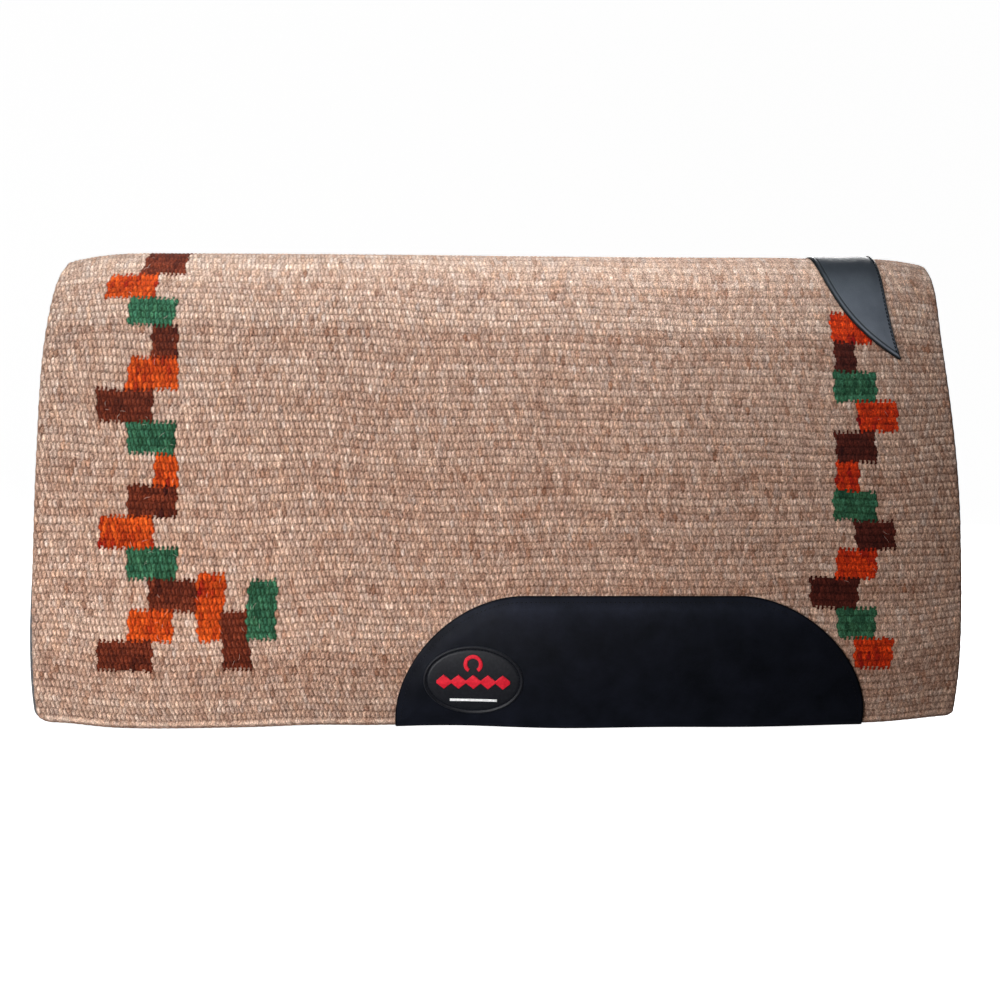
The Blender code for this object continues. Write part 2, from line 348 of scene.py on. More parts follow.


# ---- materials

# A ramp is a list of (position, tone or colour)
# Fibre tone along the yarn; the cool tint at its pale end is a painted sheen
WOOL_FIBRES_AND_SHEEN = ((0.34, (0.48, 0.46, 0.45)), (0.5, 0.96), (0.66, (1.46, 1.52, 1.56)))
WOOL_CLUMPS = ((0.3, 0.88), (0.7, 1.08))
# Painted shade: the valleys between beads and rows are darkened and reddened by the weave's depth
WOOL_DEPTH_SHADE = ((0.0, (0.19, 0.135, 0.13)), (0.30, (0.60, 0.55, 0.53)), (0.72, 1.0), (1.0, 1.2))
WOOL_SPECKS = ((0.36, 0.60), (0.5, 1.0), (0.64, 1.42))
FELT_FLECKS, FELT_PITS = ((0.56, 0.0), (0.72, 0.75)), ((0.3, 0.7), (0.5, 0.0))
LEATHER_GRAIN = ((0.05, 0.86), (0.4, 1.06))
EDGE_SCALE = 0.01  # metres of edge distance that make up the next two ramps
EDGE_SHADE = ((0.0, 0.35), (0.07, 0.6), (0.14, 1.0))
# Painted shade on the wither leather's rolled edge and in the groove beside it, with a painted highlight on
# the strip between
ROLLED_EDGE_SHADE = ((0.0, 0.15), (0.10, 0.3), (0.17, 1.05), (0.30, 1.1), (0.36, 0.25), (0.43, 0.3), (0.52, 1.0))
# Painted shade darkens the wither leather near the spine, and painted light brightens it further down
WITHER_PAINTED_SHADE = ((0.0, 0.22), (0.04, 0.34), (0.075, 0.97), (0.13, 1.65))  # tone by metres from the spine
# Painted sheen on the wear leather: a bright band just below its top edge, and painted light along its hem
WEAR_PAINTED_SHEEN = ((0.360, 1.4), (0.366, 2.0), (0.372, 1.5), (0.382, 1.05), (0.40, 0.9), (0.45, 0.95), (0.482, 1.4))


def linear(red, green, blue):
    """Linear colour from display values of 0 to 255."""
    display = np.array([red, green, blue]) / 255.0
    return tuple(np.where(display <= 0.04045, display / 12.92, ((display + 0.055) / 1.055) ** 2.4))


class Nodes:
    """A short way to build a material's nodes. Scales are per metre, and bump distances are in metres."""

    def __init__(self, name):
        self.material = bpy.data.materials.new(name)
        self.material.use_nodes = True
        self.tree = self.material.node_tree
        self.shader = self.tree.nodes["Principled BSDF"]
        self.place = self.tree.nodes.new("ShaderNodeTexCoord").outputs["Object"]

    def add(self, kind, settings=None, **inputs):
        """A new node with its settings, and with each input linked or set to a plain value."""
        node = self.tree.nodes.new(kind)
        for key, value in (settings or {}).items():
            setattr(node, key, value)
        for key, value in inputs.items():
            self.feed(node.inputs[key], value)
        return node

    def feed(self, socket, value):
        """Links a node's output to a socket, or sets a plain value on it."""
        if isinstance(value, bpy.types.NodeSocket):
            self.tree.links.new(value, socket)
        else:
            socket.default_value = (*value, 1.0) if socket.type == "RGBA" else value

    def noise(self, scale, detail=3.0, rough=0.6, stretch=(1.0, 1.0, 1.0)):
        at = self.add("ShaderNodeMapping", Vector=self.place, Scale=stretch).outputs["Vector"]
        node = self.add("ShaderNodeTexNoise", Vector=at, Scale=scale, Detail=detail, Roughness=rough)
        return node.outputs["Fac"]

    def cells(self, scale):
        node = self.add("ShaderNodeTexVoronoi", {"feature": "F1"}, Vector=self.place, Scale=scale)
        return node.outputs["Distance"]

    def attribute(self, name, output="Fac"):
        return self.add("ShaderNodeAttribute", {"attribute_name": name}).outputs[output]

    def ramp(self, source, *stops):
        node = self.add("ShaderNodeValToRGB")
        elements = node.color_ramp.elements
        elements.remove(elements[1])
        for i, (position, value) in enumerate(stops):
            element = elements.new(position) if i else elements[0]
            element.position = position
            colour = value if hasattr(value, "__len__") else (value,) * 3
            element.color = (*colour, 1.0)
        self.feed(node.inputs["Fac"], source)
        return node.outputs["Color"]

    def mix(self, factor, a, b, blend="MIX"):
        node = self.add("ShaderNodeMix", {"data_type": "RGBA", "blend_type": blend})
        for socket, value in ((0, factor), (6, a), (7, b)):
            self.feed(node.inputs[socket], value)
        return node.outputs[2]

    def tinted(self, colour, source, *stops):
        """The colour times the source's ramp."""
        return self.mix(1.0, colour, self.ramp(source, *stops), "MULTIPLY")

    def divided(self, source, by):
        node = self.add("ShaderNodeMath", {"operation": "DIVIDE"})
        self.feed(node.inputs[0], source)
        self.feed(node.inputs[1], by)
        return node.outputs[0]

    def bump(self, height, distance, strength, under=None):
        node = self.add("ShaderNodeBump", Height=height, Distance=distance, Strength=strength)
        if under is not None:
            self.feed(node.inputs["Normal"], under)
        return node.outputs["Normal"]

    def finish(self, colour, roughness, normal=None, specular=None, sheen=None):
        """Joins up the shader. Sheen is (weight, roughness)."""
        inputs = self.shader.inputs
        self.feed(inputs["Base Color"], colour)
        self.feed(inputs["Roughness"], roughness)
        if normal is not None:
            self.feed(inputs["Normal"], normal)
        if specular is not None:
            inputs["Specular IOR Level"].default_value = specular
        if sheen is not None:
            inputs["Sheen Weight"].default_value, inputs["Sheen Roughness"].default_value = sheen
        return self.material


def wool_material():
    """Each bead's own yarn colour, with fibres along the yarn, clumps and specks, and painted shade that
    darkens and reddens the valleys by the depth attribute. The pale fibres carry a cool painted sheen.
    """
    n = Nodes("woven_wool")
    fibres = n.noise(1.0, detail=4.0, rough=0.75, stretch=(950.0, 950.0, 240.0))
    clumps = n.noise(160.0, detail=2.0, rough=0.5)
    specks = n.noise(1.0, detail=2.0, rough=0.7, stretch=(780.0, 780.0, 560.0))
    # fibre tone, with a painted sheen at its pale end
    colour = n.tinted(n.attribute("yarn", "Color"), fibres, *WOOL_FIBRES_AND_SHEEN)
    colour = n.tinted(colour, clumps, *WOOL_CLUMPS)
    # painted shade in the valleys, from the depth attribute
    colour = n.tinted(colour, n.attribute("depth"), *WOOL_DEPTH_SHADE)
    colour = n.tinted(colour, specks, *WOOL_SPECKS)
    normal = n.bump(fibres, distance=0.0005, strength=0.8)
    return n.finish(colour, 0.95, normal, specular=0.08, sheen=(0.03, 0.6))


def felt_material():
    """Dark grey felt with pale flecks and small pits."""
    n = Nodes("needled_felt")
    fine = n.noise(900.0, detail=4.0, rough=0.7)
    patches = n.noise(60.0, detail=3.0, rough=0.6)
    flecks = n.noise(1.0, detail=2.0, rough=0.5, stretch=(700.0, 260.0, 500.0))
    base = n.ramp(patches, (0.3, linear(52, 53, 56)), (0.7, linear(72, 73, 77)))
    colour = n.mix(n.ramp(flecks, *FELT_FLECKS), base, linear(128, 126, 124))
    colour = n.mix(n.ramp(fine, *FELT_PITS), colour, linear(28, 29, 32))
    normal = n.bump(fine, distance=0.0010, strength=0.9, under=n.bump(patches, distance=0.0016, strength=0.5))
    return n.finish(colour, 1.0, normal, specular=0.1, sheen=(0.2, 0.7))


def leather_material(name, dark, light, rough, shine, fall, crease=None):
    """Smooth leather with fine grain, dark cut edges and, where crease is given, a groove beside the edge.
    The fall ramp paints light and shade by distance from the spine, and the crease ramp paints shade on the
    rolled edge and in the groove, with a painted highlight on the strip between.
    """
    n = Nodes(name)
    grain = n.cells(1150.0)
    mottle = n.noise(38.0, detail=4.0, rough=0.6)
    scuffs = n.noise(1.0, detail=3.0, rough=0.6, stretch=(220.0, 220.0, 30.0))
    colour = n.mix(n.ramp(mottle, (0.3, 0.0), (0.7, 1.0)), dark, light)
    colour = n.tinted(colour, n.divided(n.attribute("edge"), EDGE_SCALE), *EDGE_SHADE)
    colour = n.tinted(colour, grain, *LEATHER_GRAIN)
    # painted light and shade by distance from the spine
    colour = n.tinted(colour, n.attribute("fall"), *fall)
    slow = n.bump(mottle, distance=0.0008, strength=0.4)
    normal = n.bump(grain, distance=0.00022, strength=0.5, under=slow)
    if crease is not None:
        # painted shade on the roll and in the groove, and a painted highlight between; the bump shapes the
        # groove itself
        groove = n.ramp(n.divided(n.attribute("rolled"), EDGE_SCALE), *crease)
        colour = n.mix(1.0, colour, groove, "MULTIPLY")
        normal = n.bump(groove, distance=0.0007, strength=0.9, under=normal)
    low, high = rough
    return n.finish(colour, n.ramp(scuffs, (0.3, low), (0.7, high)), normal, specular=shine)


def thread_material(name, colour):
    """Twisted thread: the colour and a darker shade of it in fine turns."""
    n = Nodes(name)
    twist = n.noise(2600.0, detail=2.0)
    tone = n.mix(n.ramp(twist, (0.35, 0.0), (0.65, 1.0)), tuple(0.6 * c for c in colour), colour)
    return n.finish(tone, 0.7, n.bump(twist, distance=0.0002, strength=0.6), specular=0.15)


def rubber_material(name, colour, rough):
    """Moulded rubber with a little pale dust."""
    n = Nodes(name)
    dust = n.noise(420.0, detail=3.0)
    lighter = tuple(min(1.0, c * 1.3 + 0.004) for c in colour)
    tone = n.mix(n.ramp(dust, (0.4, 0.0), (0.7, 1.0)), colour, lighter)
    return n.finish(tone, rough, n.bump(dust, distance=0.00012, strength=0.5), specular=0.2)


# ---- the woven blanket

# Warps run along the spine, and each visible bead is a weft that passes over one warp
ROWS_PER_SIDE = 66
ROWS = 2 * ROWS_PER_SIDE
BEADS = 208
CELLS = 4  # mesh steps along a bead and across it
HALF_BEAD = CELLS // 2
RELIEF = 0.0018
BLANKET_INSET = 0.0020  # the grid ends this far inside the edge, and the rim runs from there
BLANKET_RIM = ((0.0012, -0.0002), (0.0024, -0.0011), (0.0030, -0.0026), (0.0026, -0.0042), (0.0010, -0.0050))
# Painted shade on the blanket's rim: its yarn colour is darkened, and its middle depth darkens it again
# through the depth ramp
RIM_SHADE, RIM_DEPTH = 0.92, 0.5

# The height of a bead from 0 to 1: a line for each mesh step across the row, of which the first is the gap
BEAD_SHAPE = (
    (0.27, 0.05, 0.27, 0.05),
    (0.16, 0.46, 0.88, 0.64),
    (0.06, 0.72, 1.00, 0.72),
    (0.16, 0.64, 0.88, 0.46),
)
BEAD_STRENGTH = (0.75, 1.08)
GAP_ROUGH, BEAD_ROUGH = (-0.12, 0.26), (-0.06, 0.06)
HIGHEST_BEAD = 1.1
CORD_SHAPE, CORD_TWIST = (0.25, 0.80, 0.95, 0.60), 0.12
BEAD_LEAN, BEAD_OFFSET = (0.0004, 0.0017), 0.00026
LEAN_FADE = 0.01
TIPS_SHOWN = 0.72  # the share of bead tips that reach in between the next row's beads

# How much of the relief is lost towards the front and over the fold
GAP_LOSS, BEAD_LOSS, FRONT_LOSS = 0.13, 0.50, (1.0, -0.25, 0.7)
FOLD_LOSS, FOLD_LOSS_END = 0.25, (1.0, 0.03, 0.06)

# How far the rows drift towards the hem
REAR_DRIFT, REAR_DRIFT_START, REAR_DRIFT_RUN = 0.0078, 0.10, 0.33
REAR_DRIFT_TOP = (0.0048, 0.047, 0.022)
FRONT_DRIFT, FRONT_DRIFT_END = (0.0155, 0.0, 0.08), (1.0, 0.19, 0.24)

# Size, length, swing and length of the swing of a meander, and size and two lengths of a ripple
ALONG_MEANDER, ALONG_RIPPLE = (0.0007, 0.083, 0.3, 0.05), (0.0008, 0.021, 0.017)
ACROSS_MEANDER, ACROSS_RIPPLE = (0.0010, 0.21, 0.2, 0.04), (0.0005, 0.013, -0.029)
WANDER_FADE = 0.02

# The light and the dark tone of each yarn
YARNS = {
    "ground": (linear(199, 171, 152), linear(157, 122, 103)),
    "orange": (linear(206, 83, 25), linear(136, 30, 8)),
    "brown": (linear(110, 47, 28), linear(70, 26, 14)),
    "green": (linear(58, 107, 78), linear(31, 68, 47)),
    "rust": (linear(212, 64, 18), linear(146, 27, 7)),
    "umber": (linear(84, 34, 25), linear(53, 18, 12)),
}
MIDDLE_TONE, TONE_LIMITS = 0.5, (-0.3, 1.3)
BEAD_TONE, STRAND_TONE, ROW_TONE, BEAD_WARMTH = 0.21, 0.06, 0.13, 0.03
STRAND_ROWS = 6
FRONT_SHADE_TINT = (1.0, 0.925, 0.90)  # painted shade tint: the colour turns a little redder towards the front end
DARKEST = 0.004

# The stepped pattern, in beads from the rear edge, one entry for each step from the lowest up
STEP_ROWS = 4
FIRST_STEP_ROW = 8
REAR_STEPS = (
    ("brown", 14.3, 26.9), ("orange", 21.4, 31.3), ("brown", 25.9, 37.6), ("green", 20.7, 32.5),
    ("orange", 14.4, 27.0), ("brown", 21.0, 31.8), ("orange", 26.2, 31.8), ("green", 19.9, 31.4),
    ("brown", 12.8, 25.9), ("orange", 19.4, 30.7), ("brown", 24.5, 30.9), ("green", 18.4, 29.4),
    ("orange", 12.2, 23.8), ("brown", 19.2, 30.0), ("brown", 19.2, 30.0),
)
FRONT_STEPS = (
    ("rust", 185.0, 193.2), ("green", 180.8, 189.1), ("umber", 175.0, 185.1), ("rust", 180.5, 189.2),
    ("umber", 184.6, 194.0), ("green", 180.4, 189.8), ("rust", 180.6, 185.6), ("umber", 180.9, 190.4),
    ("rust", 186.8, 195.7), ("green", 182.0, 191.1), ("umber", 182.2, 187.3), ("rust", 182.4, 192.2),
    ("green", 188.0, 195.0), ("umber", 184.0, 193.0), ("umber", 184.0, 193.0),
)
# Three short bars near the hem: yarn, first and last bead, first and last row
FOOT_BARS = (
    ("orange", 36.8, 43.1, 12, 20.5), ("brown", 42.3, 48.7, 8, 16), ("green", 48.2, 54.9, 12, 20),
)


def pattern(beads, rows):
    """The yarn of each bead: an index into YARNS, from bead columns and rows above the lower edge."""
    names = list(YARNS)
    yarn = np.zeros(beads.shape, int)

    def fill(name, first, last, low, high):
        yarn[(beads >= first) & (beads < last) & (rows >= low) & (rows < high)] = names.index(name)

    for steps in (REAR_STEPS, FRONT_STEPS):
        for k, (name, first, last) in enumerate(steps):
            low = FIRST_STEP_ROW + k * STEP_ROWS
            fill(name, first, last, low, low + STEP_ROWS)
    for bar in FOOT_BARS:
        fill(*bar)
    return yarn


def bead_colours(rng):
    """One colour for each bead of each row. A weft keeps its tone for a while, as its yarn does."""
    row, bead = np.meshgrid(np.arange(ROWS), np.arange(BEADS + 1), indexing="ij")
    above_hem = np.where(row < ROWS_PER_SIDE, row, ROWS - 1 - row)
    yarn = pattern(bead + 0.5 - 0.5 * (row % 2), above_hem)
    strand = rng.normal(0.0, STRAND_TONE, (ROWS // STRAND_ROWS + 1, BEADS + 1))
    strand = np.repeat(strand, STRAND_ROWS, axis=0)[:ROWS]
    tone = MIDDLE_TONE + rng.normal(0.0, BEAD_TONE, yarn.shape) + strand
    tone += rng.normal(0.0, ROW_TONE, (ROWS, 1))
    tone = np.clip(tone, *TONE_LIMITS)[..., None]
    tones = np.array(list(YARNS.values()))[yarn]
    light, dark = tones[..., 0, :], tones[..., 1, :]
    colour = dark + (light - dark) * tone
    warmth = rng.normal(0.0, BEAD_WARMTH, yarn.shape)
    colour *= np.stack([1.0 + warmth, np.ones_like(warmth), 1.0 - warmth], axis=-1)
    # painted shade tint, growing towards the front end
    colour *= 1.0 + (np.array(FRONT_SHADE_TINT) - 1.0) * (bead / BEADS)[..., None]
    return np.clip(colour, DARKEST, 1.0)


def weave_grid(rows, columns):
    """Each place's row, and its mesh steps across and along the row. Every other row is half a bead along."""
    j, i = np.meshgrid(np.arange(rows), np.arange(columns), indexing="ij")
    row = j // CELLS
    return row, j % CELLS, i + HALF_BEAD * (row % 2)


def bead_height(rng, rows, columns):
    """Height of the weave at each grid vertex, from 0 to 1: beads side by side, and a cord along the hem."""
    row, part, way = weave_grid(rows, columns)
    strength = rng.uniform(*BEAD_STRENGTH, (ROWS + 1, BEADS + 2))
    height = np.array(BEAD_SHAPE)[part, way % CELLS] * strength[row, way // CELLS]
    gap_rough, bead_rough = (rng.uniform(*limits, height.shape) for limits in (GAP_ROUGH, BEAD_ROUGH))
    height = np.clip(height + np.where(part == 0, gap_rough, bead_rough), 0.0, HIGHEST_BEAD)
    cord = np.array(CORD_SHAPE)[part] + CORD_TWIST * np.sin(np.pi * (np.arange(columns) / CELLS + part / 2))
    selvedge = (row == 0) | (row >= ROWS - 1)
    return np.where(selvedge, cord, height)


def packing(u, s):
    """The share of its relief that the weave has. Towards the front only the gaps between rows stay deep."""
    gap = (np.arange(len(u)) % CELLS == 0)[:, None]
    front = np.where(gap, GAP_LOSS, BEAD_LOSS) * step(u / LENGTH, *FRONT_LOSS)
    return 1.0 - front - FOLD_LOSS * (1.0 - step(s, *FOLD_LOSS_END))


def bead_lean(rng, t, rows, columns):
    """How far each vertex stands along the row: a bead leans, by its own amount, and sits a little off."""
    row, part, way = weave_grid(rows, columns)
    count = (ROWS + 1, BEADS + 2)
    slant = rng.uniform(*BEAD_LEAN, count)[row, way // CELLS]
    offset = rng.uniform(-BEAD_OFFSET, BEAD_OFFSET, count)[row, way // CELLS]
    return np.where(t < 0.0, -1.0, 1.0) * slant * (part / CELLS - 0.5) + np.where(part > 0, offset, 0.0)


def face_beads(rng, rows, columns):
    """The row and bead of each grid face. Most of a bead's tips reach between the beads next to it."""
    row, part, way = weave_grid(rows - 1, columns - 1)
    between = (way % CELLS == CELLS - 1) | (way % CELLS == 0)
    tip = (way + 1) // CELLS
    shown = rng.random((2, ROWS, BEADS + 2)) < TIPS_SHOWN
    below = (part == 0) & between & shown[0, row, tip]
    above = (part == CELLS - 1) & between & shown[1, row, tip]
    row = np.clip(row - below + above, 0, ROWS - 1)
    return row, (np.arange(columns - 1) + HALF_BEAD * (row % 2)) // CELLS


def row_drift(u, s):
    """The rows lie closer together towards the hem, more so at the front than at the rear."""
    way = np.clip((s - REAR_DRIFT_START) / REAR_DRIFT_RUN, 0.0, 1.0)
    rear = REAR_DRIFT * np.sin(np.pi * way) + hump(s, *REAR_DRIFT_TOP)
    front = step(s, *FRONT_DRIFT) * (1.0 - step(s, *FRONT_DRIFT_END))
    return rear + (front - rear) * smooth(u / LENGTH + 0.5)


def meander(a, b, size, length, swing, swing_length):
    return size * np.sin(2 * np.pi * (a / length + swing * np.sin(b / swing_length)))


def ripple(a, b, size, length_a, length_b):
    return size * np.sin(a / length_a + b / length_b)


def wander(u, t):
    """Small drift of the threads, so that rows and beads aren't ruled. It dies out at the edges."""
    du = meander(t, u, *ALONG_MEANDER) + ripple(u, t, *ALONG_RIPPLE)
    dt = meander(u, t, *ACROSS_MEANDER) + ripple(u, t, *ACROSS_RIPPLE)
    edge_u = smooth((LENGTH / 2 - np.abs(u)) / WANDER_FADE)
    edge_t = smooth((DROP - np.abs(t)) / WANDER_FADE)
    return u + du * edge_u, t + dt * edge_t


def make_blanket():
    rng = np.random.default_rng(SEED)
    rows, columns = ROWS * CELLS + 1, BEADS * CELLS + 1
    u, t = cloth(LENGTH / 2 - BLANKET_INSET, DROP - BLANKET_INSET, columns, rows, hem_rise)
    u, t = wander(u, t + np.sign(t) * row_drift(u, np.abs(t)))
    lean = bead_lean(rng, t, rows, columns) * smooth((LENGTH / 2 - np.abs(u)) / LEAN_FADE)
    height = 1.0 - packing(u, np.abs(t)) * (1.0 - bead_height(rng, rows, columns))
    piece = shell("woven_blanket", u + lean, t, RELIEF * (height - 0.5), BLANKET_RIM, wool_material())
    row, bead = face_beads(rng, rows, columns)
    colours = bead_colours(rng)[row, bead]
    edge = np.concatenate([colours[0], colours[:, -1], colours[-1, ::-1], colours[::-1, 0]])
    rings = len(BLANKET_RIM)
    # the rim takes the edge beads' colours, darkened as painted shade
    corner_colours(piece, "yarn", np.concatenate([colours.reshape(-1, 3)] + [RIM_SHADE * edge] * rings))
    flat_map(piece, rows, columns, rings)
    # a middle depth on the rim, which the depth ramp turns into painted shade
    depth = np.full(len(piece.data.vertices), RIM_DEPTH)
    depth[: height.size] = height.ravel()
    # the depth attribute drives the painted shade in the valleys
    point_attribute(piece, "depth", depth)
    fold(piece)
    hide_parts("near_blanket", "off_blanket")


# ---- the felt

FELT_COLUMNS, FELT_ROWS = 211, 241
FELT_INSET = 0.0026
FELT_RIM = (
    (0.0016, FELT_TOP - 0.0006), (0.0026, FELT_TOP - 0.0022), (0.0028, (FELT_TOP + FELT_BOTTOM) / 2),
    (0.0026, FELT_BOTTOM + 0.0022), (0.0016, FELT_BOTTOM + 0.0006),
)
# It stands out more at its rear lower corners
FELT_CORNER_LOW, FELT_CORNER_REAR = (FELT_SHOWS, 0.30, 0.12), (1.0, 0.30, 0.11)
FELT_FUZZ, FUZZ_BELOW = 0.00018, 0.3


def make_felt():
    rng = np.random.default_rng(SEED + 1)
    half_u, half_t = LENGTH / 2 - FELT_INSET + FELT_SHOWS, DROP - FELT_INSET
    u, t = cloth(half_u, half_t, FELT_COLUMNS, FELT_ROWS, felt_rise)
    u -= step(np.abs(t), *FELT_CORNER_LOW) * step(-u, *FELT_CORNER_REAR)
    fuzz = rng.normal(0.0, FELT_FUZZ, u.shape)
    top, bottom = FELT_TOP + fuzz, FELT_BOTTOM - FUZZ_BELOW * fuzz
    piece = fold(shell("felt_backing", u, t, top, FELT_RIM, felt_material(), bottom))
    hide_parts("near_felt", "off_felt")


# ---- leathers

EDGE_DIP, EDGE_DIP_REACH = 0.0004, 0.0015
LEATHER_RIM = ((0.0004, 0.0007), (0.0006, 0.0013))  # how far out, and how far below the top
LEATHER_FOOT = (0.0004, 0.0002)  # how far out, and how far above the underside

WEAR_CORNER_SHARE = 0.117 / 0.1225  # of its height
WEAR_CORNER_POWER = 1.86  # 2 would be a circle, and less cuts the corner more
WEAR_COLUMNS, WEAR_ROWS = 241, 71
WEAR_PUFF, WEAR_ROLL = 0.0016, 0.018

WITHER_REAR, WITHER_FRONT, WITHER_TIP = 0.3080, 0.3675, 0.3755
WITHER_BULGE, WITHER_HOLLOW = 0.0135, 0.003
WITHER_RISE = 0.0026  # its points stay this much above the CAD leather's
WITHER_TIP_WIDTH = 0.0016
WITHER_COLUMNS, WITHER_ROWS = 81, 201
WITHER_PUFF, WITHER_ROLL = 0.0006, 0.012
BOW_POINTS = 40


def distance_to(u, t, path_u, path_t):
    """Distance from each place to a path, both in (u, t)."""
    best = np.full(u.shape, 1.0)
    for au, at, bu, bt in zip(path_u[:-1], path_t[:-1], path_u[1:], path_t[1:]):
        long = max((bu - au) ** 2 + (bt - at) ** 2, 1e-12)
        part = np.clip(((u - au) * (bu - au) + (t - at) * (bt - at)) / long, 0.0, 1.0)
        best = np.minimum(best, np.hypot(u - au - part * (bu - au), t - at - part * (bt - at)))
    return best


def leather(name, u, t, high, material, puff, roll):
    """A leather sheet on the blanket, with a rounded edge and the distances that its material reads."""
    edge = distance_to(u, t, *(np.append(loop_of(grid), grid[0, 0]) for grid in (u, t)))
    top = high + puff * smooth(edge / roll) - EDGE_DIP * (1.0 - smooth(edge / EDGE_DIP_REACH))
    foot_out, foot_up = LEATHER_FOOT
    rim = [(out, high - down) for out, down in LEATHER_RIM] + [(foot_out, LEATHER_LOW + foot_up)]
    piece = shell(name, u, t, top, rim, material, LEATHER_LOW)
    rolled = distance_to(u, t, u[:, 0], t[:, 0])
    for attribute, grid in (("edge", edge), ("rolled", rolled), ("fall", np.abs(t))):
        values = np.full(len(piece.data.vertices), grid.min())
        values[: grid.size] = values[-grid.size:] = grid.ravel()
        point_attribute(piece, attribute, values)
    return piece


def wear_grid(side):
    """(u, t) over a wear leather, from its CAD box: flat below, with large round upper corners."""
    low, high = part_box(("near" if side == NEAR else "off") + "_wear_leather")
    middle, half = (low[0] + high[0]) / 2, (high[0] - low[0]) / 2
    corner = WEAR_CORNER_SHARE * (high[2] - low[2])
    across = np.sin(np.linspace(-np.pi / 2, np.pi / 2, WEAR_COLUMNS)) * half
    past = np.maximum(np.abs(across) - (half - corner), 0.0) / corner
    arc = np.maximum(1.0 - past**WEAR_CORNER_POWER, 0.0) ** (1 / WEAR_CORNER_POWER)
    upper = distance_at(high[2] - corner * (1.0 - arc))
    lower = distance_at(low[2]) - hem_rise(middle + across)
    s = lower + (upper - lower) * np.linspace(0.0, 1.0, WEAR_ROWS)[:, None]
    u = np.broadcast_to(middle + across, s.shape)
    return (u, -s) if side == NEAR else (u[::-1], s[::-1])


def bowed(start, end, bulge):
    """Points from start to end on a shallow arc that leans bulge to the right of its way."""
    way = np.linspace(0.0, 1.0, BOW_POINTS)
    (ax, az), (bx, bz) = start, end
    long = math.hypot(bx - ax, bz - az)
    lean = 4.0 * bulge * way * (1.0 - way)
    return ax + (bx - ax) * way + (bz - az) / long * lean, az + (bz - az) * way - (bx - ax) / long * lean


def wither_grid():
    """(u, t) over the wither leather, which crosses the spine and ends in a point on each side."""
    low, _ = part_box("near_wither_leather")
    tip = (WITHER_TIP, low[2] + WITHER_RISE)
    rear_x, rear_z = bowed((WITHER_REAR, HEIGHT), tip, WITHER_BULGE)
    front_x, front_z = bowed((WITHER_FRONT, HEIGHT), tip, WITHER_HOLLOW)
    reach = distance_at(tip[1])
    t = np.linspace(-reach, reach, WITHER_ROWS)[:, None]
    z = np.interp(np.abs(t), FALL_S, FALL_Z)
    rear = np.interp(-z, -rear_z, rear_x) - WITHER_TIP_WIDTH / 2
    front = np.interp(-z, -front_z, front_x) + WITHER_TIP_WIDTH / 2
    u = rear + (front - rear) * np.linspace(0.0, 1.0, WITHER_COLUMNS)[None, :]
    return u, np.broadcast_to(t, u.shape)


# ---- stitches

STITCH_SIDES, STITCH_RINGS = 6, 5
STITCH_SLANT = 0.12
STITCH_RAISE, STITCH_DIP = 0.75, 1.3  # in its own radii
STITCH_END = 0.10  # the square of its girth at the ends
LOOK_AHEAD = 0.0005  # a seam's direction is taken over this much each way

# From the leather's or label's edge to the seam, and the spacing, length and radius of its stitches
WEAR_SEAM, WEAR_SPACING, WEAR_STITCH = 0.0052, 0.0042, (0.0031, 0.00042)
WITHER_SEAM, WITHER_SPACING, WITHER_STITCH = 0.0022, 0.0040, (0.0030, 0.00055)
LABEL_SEAM, LABEL_SPACING, LABEL_STITCH = 0.0022, 0.0030, (0.0022, 0.00030)
WITHER_STITCH_RAISE = 0.0002


def inset_path(u, t, inset):
    """The loop round a grid, moved inwards."""
    edge_u, edge_t = loop_of(u), loop_of(t)
    out_u, out_t = outward(edge_u, edge_t)
    return edge_u - out_u * inset, edge_t - out_t * inset


def along(path_u, path_t, spacing, closed=False):
    """Places and directions at even spacing along a path in (u, t)."""
    if closed:
        path_u, path_t = np.append(path_u, path_u[0]), np.append(path_t, path_t[0])
    run = np.insert(np.cumsum(np.hypot(np.diff(path_u), np.diff(path_t))), 0, 0.0)
    count = max(2, round(run[-1] / spacing))
    at = (np.arange(count) + 0.5) * run[-1] / count
    u, t = np.interp(at, run, path_u), np.interp(at, run, path_t)
    ahead, behind = np.minimum(at + LOOK_AHEAD, run[-1]), np.maximum(at - LOOK_AHEAD, 0.0)
    du = np.interp(ahead, run, path_u) - np.interp(behind, run, path_u)
    dt = np.interp(ahead, run, path_t) - np.interp(behind, run, path_t)
    size = np.hypot(du, dt)
    return u, t, du / size, dt / size


def strands(name, u, t, h, girth, sides, material):
    """Thin closed strands over the cloth. Each row of (u, t, h) is a centre line, and girth its radius."""
    number, points = u.shape
    du, dt = np.gradient(u, axis=1), np.gradient(t, axis=1)
    size = np.maximum(np.hypot(du, dt), 1e-9)
    ring = np.linspace(0.0, 2 * np.pi, sides, endpoint=False)
    across, up = girth[:, None] * np.cos(ring), girth[:, None] * np.sin(ring)
    u = u[..., None] - (dt / size)[..., None] * across
    t = t[..., None] + (du / size)[..., None] * across
    first, side = np.meshgrid(np.arange(points - 1) * sides, np.arange(sides), indexing="ij")
    after = (side + 1) % sides
    quads = np.stack([first + side, first + after, first + sides + after, first + sides + side], axis=-1)
    faces = (np.arange(number) * points * sides)[:, None, None] + quads.reshape(-1, 4)
    verts = place(u, t, h[..., None] + up).reshape(-1, 3)
    piece = make_object(name, verts, faces.reshape(-1, 4), material)
    close_ends(piece)
    return piece


